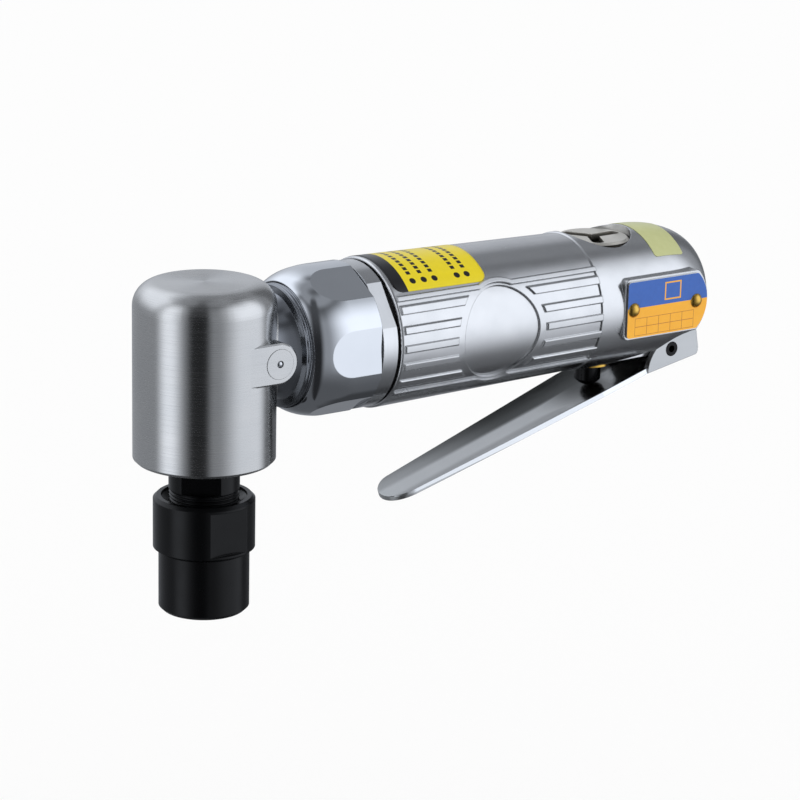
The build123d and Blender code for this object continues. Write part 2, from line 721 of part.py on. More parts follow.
def housing_piece():
    housing = revolve(barrel_plane * make_face(housing_outline(0)), barrel_axis)
    taper = (step_radius - housing_front_radius) / step_setback
    cone_end = step_x + step_run + panel_overrun + 1
    end_radius = housing_front_radius + taper * (cone_end - housing_front)

    def grip_cone(grow):
        """The front cone alone, carried on past the step."""
        outline = Polyline((housing_front, 0), (housing_front, housing_front_radius + grow),
                           (cone_end, end_radius + grow), (cone_end, 0), close=True)
        return revolve(barrel_plane * make_face(outline), barrel_axis)

    def on_crest(edge):
        """Whether an edge lies on the raised cone, where a bar's top ends."""
        for point in (edge @ 0, edge @ 0.5, edge @ 1):
            crest = housing_front_radius + raise_height + taper * (point.X - housing_front)
            if abs(math.hypot(point.Y, point.Z - axis_z) - crest) > fit:
                return False
        return True

    deep = housing_rear_radius / 3
    wide = housing_front_radius + 2
    line, bars, disc = raised_marks()
    crest = grip_cone(raise_height)
    bars = across(bars, deep, wide) & crest
    bars = chamfer([edge for edge in bars.edges() if on_crest(edge)], bar_bevel)
    marks = bars + (across(line, deep, wide) & crest)
    sunk = across(disc, deep, wide) - grip_cone(-roundel_sink)
    housing += marks
    housing += mirror(marks, Plane.XZ)
    housing -= sunk
    housing -= mirror(sunk, Plane.XZ)
    pad = across(plate_outline(pad_border), deep, plate_face)
    housing += chamfer(pad.faces().sort_by(Axis.Y)[0].edges(), pad_bevel)
    housing += rod_y(lug_radius, -lug_inner_half_width, lug_inner_half_width, pin_x, -lever_pin_drop)

    # Rivet holes, motor bore and air passages
    for x in rivet_places:
        housing -= rod_y(rivet_shank_radius + fit, -plate_face - 1, -plate_face + rivet_shank, x, plate_middle)
    housing -= rod_x(motor_bore_radius, housing_front - 1, bore_end)
    housing -= rod_x(bushing_port_radius, bore_end - 1, valve_x, 0, valve_port_z)
    housing -= rod_x(inlet_port_radius, valve_x, inlet_front + 1)
    housing -= rod_x(inlet_radius + fit, inlet_front, housing_rear + 1)
    for y in (-exhaust_y, exhaust_y):
        for z in (-exhaust_z, exhaust_z):
            housing -= rod_x(exhaust_radius, bore_end - 1, housing_rear + 1, y, z)

    # Upright bore for the valve, with a wider seat for the regulator
    high = axis_z + housing_front_radius + 2
    low = axis_z - housing_front_radius - 2
    housing -= rod_z(valve_bore_radius, low, high, valve_x)
    housing -= rod_z(regulator_radius + slip + fit, axis_z + regulator_floor, high, valve_x)
    pin_hole_x = valve_x + valve_bore_radius
    pin_hole_z = regulator_floor - regulator_pin_drop
    housing -= rod_y(regulator_pin_radius + fit, -regulator_pin_near - fit, plate_face, pin_hole_x, pin_hole_z)

    # Pockets beside the lug for the lever's ears
    housing -= rod_y(lever_pin_radius + fit, -lug_half_width, lug_half_width, pin_x, -lever_pin_drop)
    tilt = math.radians(lever_rest)
    arc_down = ear_round - ear_top
    arc_x = pin_x + arc_down * math.sin(tilt)
    arc_z = -lever_pin_drop - arc_down * math.cos(tilt)
    reach = ear_round + pocket_margin
    lead_z = -math.sqrt(housing_radius(pin_x - pocket_lead) ** 2 - lug_half_width ** 2)
    lead = make_face(Polyline((pin_x - pocket_lead, lead_z), (pin_x, lead_z + pocket_lead_rise),
                              (pin_x, -housing_front_radius - 2), (pin_x - pocket_lead, -housing_front_radius - 2),
                              close=True))
    width = housing_front_radius
    housing -= across(lead, lug_half_width, lug_half_width + width)
    housing -= across(lead, -lug_half_width - width, -lug_half_width)
    for side in (-1, 1):
        near = side * lug_half_width
        far = side * (lug_half_width + width)
        first, last = min(near, far), max(near, far)
        housing -= rod_y(reach, first, last, arc_x, arc_z)
        housing -= block(arc_x, housing_rear + 1, first, last, low, axis_z + arc_z + reach)
    return housing


def plate_pieces():
    back = plate_face + fit
    plate = across(plate_outline(0), back, back + plate_thickness)
    face_y = -back - plate_thickness
    dome_radius = (rivet_radius ** 2 + rivet_height ** 2) / (2 * rivet_height)
    rivets = []
    for x in rivet_places:
        plate -= rod_y(rivet_shank_radius + fit, face_y - 1, -back + 1, x, plate_middle)
        dome = Pos(x, face_y - rivet_height + dome_radius, axis_z + plate_middle) * Sphere(dome_radius)
        dome &= rod_y(rivet_radius + 1, face_y - rivet_radius - 1, face_y - fit, x, plate_middle)
        rivets.append(dome + rod_y(rivet_shank_radius, face_y - fit, -back + rivet_shank, x, plate_middle))
    return plate, Compound(children=rivets)


def inlet_pieces():
    bushing = rod_x(inlet_radius, inlet_front, inlet_rear)
    bushing -= rod_x(inlet_thread_radius, inlet_rear - inlet_thread_length, inlet_rear + 1)
    bushing -= rod_x(inlet_port_radius, inlet_front - 1, inlet_rear)
    seat = inlet_rear - inlet_thread_length
    bushing -= rod_x(screen_radius + fit, seat - screen_thickness, seat + 1)
    screen = rod_x(screen_radius, seat - screen_thickness, seat)
    for i in range(screen_holes):
        turn = Pos(0, 0, axis_z) * Rot(360 * i / screen_holes, 0, 0) * Pos(0, 0, -axis_z)
        screen -= turn * rod_x(screen_hole_radius, seat - 1, seat + 2, inlet_port_radius / 2)
    plugs = []
    plug_rear = housing_rear - silencer_recess
    for y in (-exhaust_y, exhaust_y):
        for z in (-exhaust_z, exhaust_z):
            plugs.append(rod_x(exhaust_radius - fit, plug_rear - silencer_length, plug_rear, y, z))
    return bushing, screen, Compound(children=plugs)


def lever_floor_height(x_offset, press):
    """Height of the trough's floor under a point beside the pin, with the lever pressed by some degrees."""
    tilt = math.radians(lever_rest - press)
    along = (x_offset - lever_floor * math.sin(tilt)) / math.cos(tilt)
    return along * math.sin(tilt) - lever_floor * math.cos(tilt)


def valve_pieces():
    seat = axis_z + bushing_top
    bushing = rod_z(valve_bore_radius - fit, axis_z + bushing_bottom, seat, valve_x)
    bushing -= rod_z(plunger_radius + slip, axis_z + bushing_bottom - 1, seat + 1, valve_x)
    bushing -= rod_z(bushing_upper_radius, axis_z + bushing_step, seat + 1, valve_x)
    bushing -= rod_x(bushing_port_radius, valve_x - valve_bore_radius - 1, valve_x, 0, valve_port_z)
    seal_z = axis_z + bushing_bottom + plunger_seal_rise
    seal_ring = plunger_radius + slip + plunger_seal_radius
    bushing -= torus_z(seal_ring, plunger_seal_radius + fit, seal_z, valve_x)
    seal = torus_z(seal_ring, plunger_seal_radius, seal_z, valve_x)

    tilt = math.radians(lever_rest)
    floor_z = pin_z + lever_floor_height(valve_x - pin_x, 0)
    tip = floor_z + plunger_round * (1 / math.cos(tilt) - 1) + end_gap
    disc_bottom = seat + end_gap
    disc_top = disc_bottom + valve_disc_thickness
    plunger = rod_z(plunger_radius, tip, axis_z + bushing_step, valve_x)
    plunger &= Pos(valve_x, 0, tip + plunger_round) * Sphere(plunger_round) + rod_z(
        plunger_radius, tip + plunger_round, disc_top, valve_x)
    plunger += rod_z(valve_stem_radius, axis_z + bushing_step - 1, disc_top, valve_x)
    disc = rod_z(valve_disc_radius, disc_bottom, disc_top, valve_x)
    disc -= rod_z(valve_stem_radius + fit, disc_bottom - 1, disc_top + 1, valve_x)
    return bushing, seal, plunger, disc, disc_top


def spring_piece(bottom, top):
    """A coil of round wire, drawn as half turns from a start that faces +X."""
    rise = (top - bottom - 2 * spring_wire) / (2 * spring_turns)
    arcs = []
    for i in range(2 * spring_turns):
        points = []
        for step in (0.0, 0.5, 1.0):
            angle = math.pi * (i + step)
            points.append((valve_x + spring_radius * math.cos(angle), spring_radius * math.sin(angle),
                           bottom + spring_wire + rise * (i + step)))
        arcs.append(ThreePointArc(*points))
    path = Wire(arcs)
    profile = Plane(origin=path @ 0, z_dir=path % 0) * Circle(spring_wire)
    print("least gap between the spring's turns:", round(2 * rise - 2 * spring_wire, 2))
    return sweep(profile, path=path)


def regulator_pieces():
    floor = axis_z + regulator_floor
    bottom = floor - regulator_stem_length
    top = floor + fit + regulator_thickness
    regulator = chamfer(rod_z(regulator_radius, floor + fit, top, valve_x).edges().group_by(Axis.Z)[-1],
                        regulator_edge)
    regulator += rod_z(valve_bore_radius - slip, bottom, floor + fit, valve_x)
    half = regulator_slot_width / 2
    reach = regulator_radius - regulator_slot_margin - half
    arm = block(0, reach, -half, half, top - regulator_slot_depth, top + 1)
    arm += rod_z(half, top - regulator_slot_depth, top + 1, reach)
    for i in range(regulator_slot_arms):
        turn = regulator_slot_turn + 360 * i / regulator_slot_arms
        regulator -= Pos(valve_x, 0, 0) * Rot(0, 0, turn) * arm
    groove_z = floor - regulator_pin_drop
    groove = rod_z(valve_bore_radius + 1, groove_z - regulator_groove, groove_z + regulator_groove, valve_x)
    groove -= rod_z(valve_bore_radius - regulator_pin_radius - end_gap, bottom, top, valve_x)
    regulator -= groove
    seal_ring = valve_bore_radius - fit - regulator_seal_radius
    seal_z = bottom + regulator_seal_rise
    regulator -= torus_z(seal_ring, regulator_seal_radius + fit, seal_z, valve_x)
    seal = torus_z(seal_ring, regulator_seal_radius, seal_z, valve_x)
    pin_length = math.sqrt(housing_radius(valve_x) ** 2 - regulator_floor ** 2) - 1
    pin = rod_y(regulator_pin_radius, -regulator_pin_near, pin_length, valve_x + valve_bore_radius,
                regulator_floor - regulator_pin_drop)
    return regulator, seal, pin, bottom


def lever_pieces():
    """The lever in its own frame, with the pin at the origin and the tip toward -X, then set at rest."""
    tip_middle = lever_tip_radius - lever_reach
    plan = make_face([Polyline((tip_middle, -lever_tip_radius), (-lever_straight, -lever_half_width),
                               (lever_tail, -lever_half_width), (lever_tail, lever_half_width),
                               (-lever_straight, lever_half_width), (tip_middle, lever_tip_radius)),
                      ThreePointArc((tip_middle, lever_tip_radius), (-lever_reach, 0),
                                    (tip_middle, -lever_tip_radius))])
    middle = lever_trough_radius - lever_floor
    length = 2 * (lever_reach + lever_tail)
    trough = Pos(0, 0, middle) * Rot(0, 90, 0) * Cylinder(lever_trough_radius + lever_sheet, length)
    trough -= Pos(0, 0, middle) * Rot(0, 90, 0) * Cylinder(lever_trough_radius, length + 2)
    lean = extrude(plan, lever_edge_drop + 0.5, taper=lever_edge_lean)
    below = extrude(plan, lever_edge_drop - lever_trough_radius)
    trough &= Pos(0, 0, -lever_edge_drop) * (lean + below)

    edge = lever_trough_radius + lever_sheet
    ear_foot = middle - math.sqrt(edge ** 2 - lever_half_width ** 2)
    arc_middle = ear_top - ear_round
    foot_x = -math.sqrt(ear_round ** 2 - (ear_foot - arc_middle) ** 2)
    bend = math.radians(90 + math.degrees(math.asin(-foot_x / ear_round)) / 2)
    side = make_face([ThreePointArc((foot_x, ear_foot),
                                    (ear_round * math.cos(bend), arc_middle + ear_round * math.sin(bend)),
                                    (0, ear_top)),
                      Polyline((0, ear_top), (lever_tail + ear_tail_lean, ear_tail_top),
                               (lever_tail, ear_tail_bottom), (foot_x, ear_foot))])
    lever = trough
    for far in (lever_half_width, ear_sheet - lever_half_width):
        lever += Pos(0, far, 0) * extrude(Plane.XZ * side, ear_sheet)
    tail_x = lever_tail - ear_tail_round
    tail_z = ear_tail_bottom + ear_tail_round
    corner = block(tail_x, lever_tail + 1, -2 * lever_half_width, 2 * lever_half_width, -lever_trough_radius, tail_z)
    lever -= corner - Pos(tail_x, 0, tail_z) * Rot(90, 0, 0) * Cylinder(ear_tail_round, 5 * lever_half_width)
    lever -= Rot(90, 0, 0) * Cylinder(lever_pin_radius + slip, 3 * lever_half_width)
    lever = Pos(pin_x, 0, pin_z) * Rot(0, -lever_rest, 0) * lever
    pin = rod_y(lever_pin_radius, -lever_half_width, lever_half_width, pin_x, -lever_pin_drop)
    pin -= rod_y(lever_pin_bore, -lever_half_width - 1, lever_half_width + 1, pin_x, -lever_pin_drop)
    return lever, pin


nodes = {}
nodes["collet"], nodes["collet_nut"] = collet_pieces()
nodes["spindle"], nodes["bevel_gear"], nodes["gear_key"], nodes["gear_circlip"] = spindle_pieces()
nodes["bevel_pinion"], pinion_end = pinion_piece()
(nodes["angle_head"], nodes["bearing_retainer"], nodes["grease_fitting"], nodes["grease_ball"],
 nodes["pinion_spacer"], nodes["pinion_circlip"]) = head_pieces()
nodes["coupling_nut"], nodes["lock_ring"], nodes["front_gasket"], nodes["front_sleeve"] = coupling_pieces()
(nodes["front_end_plate"], nodes["cylinder_liner"], nodes["rear_end_plate"], nodes["liner_pin"],
 nodes["wave_washer"]) = motor_pieces()
nodes["rotor"], nodes["rotor_vanes"] = rotor_pieces(pinion_end)
nodes["motor_housing"] = housing_piece()
nodes["name_plate"], nodes["plate_rivets"] = plate_pieces()
nodes["air_inlet_bushing"], nodes["inlet_screen"], nodes["exhaust_silencers"] = inlet_pieces()
(nodes["valve_bushing"], nodes["plunger_seal"], nodes["valve_plunger"], nodes["throttle_valve"],
 spring_bottom) = valve_pieces()
nodes["air_regulator"], nodes["regulator_seal"], nodes["regulator_pin"], spring_top = regulator_pieces()
nodes["valve_spring"] = spring_piece(spring_bottom + slip, spring_top - slip)
nodes["throttle_lever"], nodes["lever_pin"] = lever_pieces()

bearings = {
    "lower_bearing": place_on_spindle(ball_bearing(lower_bearing), lower_bearing_bottom),
    "upper_bearing": place_on_spindle(ball_bearing(upper_bearing), upper_bearing_bottom),
    "pinion_front_bearing": place_on_barrel(ball_bearing(pinion_bearing), pinion_shoulder),
    "pinion_rear_bearing": place_on_barrel(ball_bearing(pinion_bearing), pinion_rear_start),
    "rotor_front_bearing": place_on_barrel(ball_bearing(rotor_bearing), sleeve_rear),
    "rotor_rear_bearing": place_on_barrel(ball_bearing(rotor_bearing), liner_rear + plate_web),
}
for name, (outer_race, inner_race, balls) in bearings.items():
    nodes[name + "_outer"] = outer_race
    nodes[name + "_inner"] = inner_race
    nodes[name + "_balls"] = balls

os.makedirs("parts", exist_ok=True)
for name, shape in nodes.items():
    export_step(shape, "parts/" + name + ".step")
print(len(nodes), "nodes")
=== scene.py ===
# %% [markdown]
# A right angle air die grinder, dressed over its CAD frame.
# Nearly all of the tool is bare metal, so the lesson is about metal finishes and what they reflect.
# The CAD model already has the shapes. It comes in as a fixed frame, and nothing here moves it.

# %% Load the frame
import json
import math
import bmesh
import bpy
import numpy as np
from mathutils import Matrix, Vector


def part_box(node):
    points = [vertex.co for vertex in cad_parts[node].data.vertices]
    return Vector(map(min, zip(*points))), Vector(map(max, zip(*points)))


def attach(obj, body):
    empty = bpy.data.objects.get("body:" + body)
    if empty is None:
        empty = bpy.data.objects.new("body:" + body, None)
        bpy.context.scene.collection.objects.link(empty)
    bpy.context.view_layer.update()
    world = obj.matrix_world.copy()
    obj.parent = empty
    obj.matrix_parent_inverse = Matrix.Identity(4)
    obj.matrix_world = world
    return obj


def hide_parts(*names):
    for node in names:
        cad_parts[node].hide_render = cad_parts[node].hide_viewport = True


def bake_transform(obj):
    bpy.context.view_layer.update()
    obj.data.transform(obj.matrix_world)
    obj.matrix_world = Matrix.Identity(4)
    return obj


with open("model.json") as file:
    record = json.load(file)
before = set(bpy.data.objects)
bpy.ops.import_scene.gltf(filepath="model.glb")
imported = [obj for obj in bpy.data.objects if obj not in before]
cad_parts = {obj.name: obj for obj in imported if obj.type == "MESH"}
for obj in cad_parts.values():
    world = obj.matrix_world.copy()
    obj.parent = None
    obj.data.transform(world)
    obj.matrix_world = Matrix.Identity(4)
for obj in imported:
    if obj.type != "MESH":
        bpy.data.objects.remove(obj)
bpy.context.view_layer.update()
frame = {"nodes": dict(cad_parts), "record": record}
nodes = frame["nodes"]
mm = 0.001

# %% [markdown]
# The camera stands where the photographer's stood. Its place was found by matching edges of the CAD model
# with the picture: a long lens, a little above the barrel and well to its left.
# The crossing of the barrel's and the spindle's axes is the one point that the numbers below pin down.
# A target and a tracking constraint could aim it too, but angles and one pixel give the framing directly.

# %% Camera
image_px = 800.0
focal_px = 3000.0
azimuth, elevation, roll = np.radians([-35.17, 15.98, 1.26])
axis_z = 58.55
crossing = np.array([0.0, 0.0, axis_z]) * mm
crossing_px = np.array([204.63, 356.21])
distance = 663.03 * mm
back = np.array([math.sin(azimuth) * math.cos(elevation), -math.cos(azimuth) * math.cos(elevation),
                 math.sin(elevation)])
level = np.array([math.cos(azimuth), math.sin(azimuth), 0.0])
upright = np.cross(back, level)
right = level * math.cos(roll) + upright * math.sin(roll)
up = upright * math.cos(roll) - level * math.sin(roll)
across, down = (crossing_px - image_px / 2) / focal_px * distance
stand = crossing + back * distance - right * across + up * down

lens = bpy.data.cameras.new("camera")
lens.sensor_width = 36.0
lens.lens = focal_px / image_px * lens.sensor_width
lens.clip_start, lens.clip_end = 0.01, 50.0
camera = bpy.data.objects.new("camera", lens)
bpy.context.collection.objects.link(camera)
pose = np.eye(4)
pose[:3, :] = np.column_stack([right, up, back, stand])
camera.matrix_world = Matrix(pose.tolist())
bpy.context.scene.camera = camera
print("camera at", np.round(stand, 4), "lens", lens.lens)

# %% [markdown]
# Three helpers serve every finish below. Colours are written as sRGB hex, as a paint shop would,
# and turned to the linear values that a renderer adds up. One function places a node, one starts a material.

# %% Colour and node helpers
def linear(code):
    """sRGB hex to linear RGBA: a straight line near black, then a power of 2.4."""
    srgb = np.array([int(code[i:i + 2], 16) for i in (1, 3, 5)]) / 255
    rgb = np.where(srgb <= 0.04045, srgb / 12.92, ((srgb + 0.055) / 1.055) ** 2.4)
    return (*rgb.tolist(), 1.0)


def add(tree, kind, inputs=(), **settings):
    """A node with its settings; each input is a constant or another node's output."""
    node = tree.nodes.new("ShaderNode" + kind)
    for key, value in settings.items():
        setattr(node, key, value)
    for key, value in dict(inputs).items():
        if isinstance(value, bpy.types.NodeSocket):
            tree.links.new(value, node.inputs[key])
        else:
            node.inputs[key].default_value = value
    return node


def new_finish(name):
    """A material with its shader, ready for a finish's own nodes."""
    material = bpy.data.materials.new(name)
    material.use_nodes = True
    return material, material.node_tree, material.node_tree.nodes["Principled BSDF"]


print("half way to white in sRGB is", round(linear("#808080")[0], 3), "of the light")

# %% [markdown]
# Bare metal shows its surroundings, so the studio matters more than any colour. It could be built from lamps
# and cards, but drawn on the world it needs no objects, and each light is a patch between two angles.
# turn goes round from the camera to the right, rise goes up, and behind is turn counted from 0 to 360.

# %% Studio directions
world = bpy.data.worlds.new("studio")
bpy.context.scene.world = world
world.use_nodes = True
world.cycles.sampling_method = "NONE"
sky = world.node_tree
sky.nodes.clear()
towards = add(sky, "TexCoord").outputs["Generated"]
side = add(sky, "VectorMath", {0: towards, 1: level}, operation="DOT_PRODUCT").outputs["Value"]
front = add(sky, "VectorMath", {0: towards, 1: (math.sin(azimuth), -math.cos(azimuth), 0.0)},
            operation="DOT_PRODUCT").outputs["Value"]
turn = add(sky, "Math", {0: side, 1: front}, operation="ARCTAN2").outputs[0]
behind = add(sky, "Math", {0: turn, 1: 2 * math.pi, 2: 0.0}, operation="WRAP").outputs[0]
height = add(sky, "SeparateXYZ", {0: towards}).outputs["Z"]
rise = add(sky, "Math", {0: height}, operation="ARCSINE").outputs[0]
print("direction nodes:", len(sky.nodes))

# %% [markdown]
# First come the room's ground and ceiling: grey below and paler at the horizon, then a dim card overhead
# with a paler ring in it. A picture of a studio would do as well, but masks over two angles need no file.
# Each patch has soft edges, and a later patch lies over the earlier ones.

# %% Studio ground and ceiling
def band(value, low, high, below, above):
    """1 between two angles in degrees, fading smoothly to 0 over so many degrees below and above them."""
    edges = np.radians([low - below, low, high, high + above])
    enters = add(sky, "MapRange", {"Value": value, "From Min": edges[0], "From Max": edges[1]},
                 interpolation_type="SMOOTHSTEP").outputs[0]
    leaves = add(sky, "MapRange", {"Value": value, "From Min": edges[2], "From Max": edges[3],
                                   "To Min": 1.0, "To Max": 0.0}, interpolation_type="SMOOTHSTEP").outputs[0]
    return add(sky, "Math", {0: enters, 1: leaves}, operation="MULTIPLY").outputs[0]


def lay(under, turn_mask, rise_mask, strength):
    """One light level laid over another: under + (strength - under) times the product of both masks."""
    mask = add(sky, "Math", {0: turn_mask, 1: rise_mask}, operation="MULTIPLY").outputs[0]
    return add(sky, "Mix", {0: mask, 2: under, 3: strength}, data_type="FLOAT").outputs[0]


all_round = 1.0
light = lay(0.14, all_round, band(rise, -10, 90, 50, 10), 0.42)
light = lay(light, all_round, band(rise, 58, 90, 22, 10), 0.17)
light = lay(light, all_round, band(rise, 68, 76, 10, 14), 0.42)
print("nodes with ground and ceiling:", len(sky.nodes))

# %% [markdown]
# The lights are set as a photographer would set them: a tall window on the left, a wide one on the right,
# a high light behind on the left, a pale backdrop and a dark gap round the camera. Only reflections
# see them. All else, the camera included, sees a plain white dome, which lights painted surfaces evenly,
# so that a colour renders as it is written.

# %% Studio lights
# Pale backdrop behind the tool
light = lay(light, band(behind, 184, 205, 30, 20), band(rise, 8, 44, 14, 18), 0.75)
# High light behind on the left
light = lay(light, band(turn, -145, -92, 30, 25), band(rise, 30, 50, 30, 22), 1.5)
# Tall window on the left and wide window on the right
light = lay(light, band(turn, -58, -52, 24, 26), band(rise, -22, 32, 30, 34), 1.6)
light = lay(light, band(turn, 68, 98, 44, 24), band(rise, 0, 30, 44, 34), 1.65)
# Cards behind on the right: a dark upright one, a darker one low down and a paler one high up
light = lay(light, band(turn, 142, 158, 10, 10), band(rise, -50, 36, 15, 12), 0.2)
low_card = lay(0.07, all_round, band(rise, -28, 90, 20, 10), 0.16)
light = lay(light, band(turn, 124, 165, 14, 10), band(rise, -65, -16, 15, 10), low_card)
light = lay(light, band(turn, 138, 165, 10, 12), band(rise, 44, 62, 8, 10), 0.34)
# Dark gap round the camera
gap = lay(0.03, all_round, band(rise, 60, 90, 60, 10), 0.10)
light = lay(light, band(turn, -14, 4, 18, 16), band(rise, -90, 70, 10, 15), gap)

path = add(sky, "LightPath")
dome = add(sky, "Background", {"Color": linear("#FFFFFF"), "Strength": 1.0})
room = add(sky, "Background", {"Color": linear("#F1F6FF"), "Strength": light})
seen = add(sky, "MixShader", {0: path.outputs["Is Glossy Ray"], 1: dome.outputs[0], 2: room.outputs[0]})
add(sky, "OutputWorld", {"Surface": seen.outputs[0]})
bpy.context.scene.view_settings.view_transform = "Standard"
print("studio nodes:", len(sky.nodes))

# %% [markdown]
# Every new piece is a grid of points worked out with numpy. Primitives and modifiers could make some
# of them, but formulas keep every size in sight. One function turns a grid into a mesh: its rows and columns
# become quads, and a closed direction joins its last line to its first.

# %% Grid to mesh
def skin(name, points, finish, close_rows=False, close_columns=False, flip=False, uv=None):
    """A mesh of quads over points[row, column, xyz], wrapped where a direction is closed."""
    rows, columns = points.shape[:2]
    index = np.arange(rows * columns).reshape(rows, columns)
    if close_rows:
        index = np.vstack([index, index[:1]])
    if close_columns:
        index = np.hstack([index, index[:, :1]])
    quads = np.stack([index[:-1, :-1], index[:-1, 1:], index[1:, 1:], index[1:, :-1]], axis=-1)
    quads = quads.reshape(-1, 4)
    quads = quads[:, ::-1] if flip else quads
    mesh = bpy.data.meshes.new(name)
    mesh.from_pydata(points.reshape(-1, 3), [], quads)
    mesh.polygons.foreach_set("use_smooth", np.ones(len(quads), dtype=bool))
    mesh.materials.append(finish)
    if uv is not None:
        corners = np.empty(len(mesh.loops), dtype=np.int32)
        mesh.loops.foreach_get("vertex_index", corners)
        mesh.uv_layers.new(name="print").data.foreach_set("uv", uv.reshape(-1, 2)[corners].ravel())
    piece = bpy.data.objects.new(name, mesh)
    bpy.context.collection.objects.link(piece)
    print(name, "vertices", len(mesh.vertices), "faces", len(quads))
    return piece


# %% [markdown]
# The floor is a plain white sheet well below the tool, so that it catches only a faint shadow.
# A plane from the menu would do, but the grid function makes it as well as any other piece.
# Seen from underneath it lets the eye through, and metal doesn't reflect it.

# %% Floor
floor_reach = 4.0
floor_z = -150 * mm
paper, tree, shader = new_finish("white_paper")
shader.inputs["Base Color"].default_value = linear("#FDFDFD")
shader.inputs["Roughness"].default_value = 1.0
shader.inputs["Specular IOR Level"].default_value = 0.0
clear = add(tree, "BsdfTransparent")
underneath = add(tree, "NewGeometry").outputs["Backfacing"]
sheet = add(tree, "MixShader", {0: underneath, 1: shader.outputs[0], 2: clear.outputs[0]})
tree.links.new(sheet.outputs[0], tree.nodes["Material Output"].inputs["Surface"])
floor_x, floor_y = np.meshgrid([-floor_reach, floor_reach], [-floor_reach, floor_reach])
floor = skin("floor", np.dstack([floor_x, floor_y, np.full_like(floor_x, floor_z)]), paper)
floor.visible_glossy = False

# %% [markdown]
# Head, lock ring and lever share one kind of finish: steel with the fine streaks of a tool or a buff.
# Cutting the streaks into the mesh would take millions of faces, so stretched noise makes them, as bump and
# as roughness. The spacing stretches the noise along the streaks, in millimetres on each axis.

# %% Turned steel
def turned_steel(name, code, spacing, rough, depth_m):
    """Satin metal with streaks: spacing gives the streaks' repeat in millimetres along x, y and z."""
    cloud_mm, edge_mm = 9.0, 0.15
    material, tree, shader = new_finish(name)
    place = add(tree, "TexCoord").outputs["Object"]
    scale = tuple(1000.0 / repeat for repeat in spacing)
    streaks = add(tree, "Mapping", {"Vector": place, "Scale": scale}).outputs[0]
    lines = add(tree, "TexNoise", {"Vector": streaks, "Scale": 1.0, "Detail": 3.0}).outputs[0]
    cloud = add(tree, "TexNoise", {"Vector": place, "Scale": 1000.0 / cloud_mm, "Detail": 2.0}).outputs[0]
    shade = add(tree, "Mix", {0: cloud, 6: linear(code), 7: linear("#B9BABA")}, data_type="RGBA")
    dull = add(tree, "MapRange", {"Value": lines, "From Min": 0.3, "From Max": 0.7, "To Min": rough - 0.05,
                                  "To Max": rough + 0.06})
    edge = add(tree, "Bevel", {"Radius": edge_mm * mm}, samples=4)
    bump = add(tree, "Bump", {"Strength": 1.0, "Distance": depth_m, "Height": lines,
                              "Normal": edge.outputs[0]})
    tree.links.new(shade.outputs[2], shader.inputs["Base Color"])
    tree.links.new(dull.outputs[0], shader.inputs["Roughness"])
    tree.links.new(bump.outputs[0], shader.inputs["Normal"])
    shader.inputs["Metallic"].default_value = 1.0
    return material, tree, shader, place


ring_steel = turned_steel("turned_ring_steel", "#D2D3D5", (0.3, 14.0, 14.0), 0.18, 3.0e-7)[0]
print("ring steel made")

# %% [markdown]
# The head was turned on a lathe, so its streaks are rings round the spindle. Across the rings the surface
# tilts a little up and down, which smears a reflection along the spindle and keeps it crisp round it: that
# gives the upright light and dark bands. The shader's anisotropy does this without any real rings.
# The neck behind the head is smooth, and its darker colour is a painted dark reflection of the dark
# surroundings it mirrors. What lies further from the spindle than the head's own radius is neck, apart from
# the ear, which is a strip with a round end.

# %% Satin head and neck with painted dark reflection
head_reach = 16.25 * mm
ear_x, ear_z, ear_radius = 9.7 * mm, 59.05 * mm, 4.75 * mm
ring_smear, neck_rough = 0.85, 0.16
satin_steel, tree, shader, place = turned_steel("turned_satin_steel", "#C6C5C3", (18.0, 18.0, 0.16), 0.24,
                                                0.8e-7)
round_spindle = add(tree, "VectorMath", {0: (0.0, 0.0, 1.0), 1: place}, operation="CROSS_PRODUCT").outputs[0]
tree.links.new(round_spindle, shader.inputs["Tangent"])
shader.inputs["Anisotropic Rotation"].default_value = 0.25
flat = add(tree, "VectorMath", {0: place, 1: (1.0, 1.0, 0.0)}, operation="MULTIPLY").outputs[0]
far = add(tree, "VectorMath", {0: flat}, operation="LENGTH").outputs["Value"]
beyond = add(tree, "Math", {0: far, 1: head_reach}, operation="GREATER_THAN").outputs[0]
spot = add(tree, "SeparateXYZ", {0: place})
past = add(tree, "Math", {0: spot.outputs["X"], 1: ear_x}, operation="MAXIMUM").outputs[0]
side_on = add(tree, "CombineXYZ", {0: past, 2: spot.outputs["Z"]}).outputs[0]
from_ear = add(tree, "VectorMath", {0: side_on, 1: (ear_x, 0.0, ear_z)}, operation="DISTANCE")
ear = add(tree, "Math", {0: from_ear.outputs["Value"], 1: ear_radius}, operation="LESS_THAN").outputs[0]
neck = add(tree, "Math", {0: beyond, 1: ear}, operation="SUBTRACT", use_clamp=True).outputs[0]
# The neck's darker colour is a painted dark reflection; the ear keeps the head's colour.
bright = shader.inputs["Base Color"].links[0].from_socket
painted_dark = add(tree, "Mix", {0: neck, 6: bright, 7: linear("#84878C")}, data_type="RGBA").outputs[2]
ringed = shader.inputs["Roughness"].links[0].from_socket
dull = add(tree, "Mix", {0: neck, 2: ringed, 3: neck_rough}, data_type="FLOAT").outputs[0]
smear = add(tree, "Mix", {0: neck, 2: ring_smear, 3: 0.0}, data_type="FLOAT").outputs[0]
tree.links.new(painted_dark, shader.inputs["Base Color"])
tree.links.new(dull, shader.inputs["Roughness"])
tree.links.new(smear, shader.inputs["Anisotropic"])
print("head steel nodes:", len(tree.nodes))
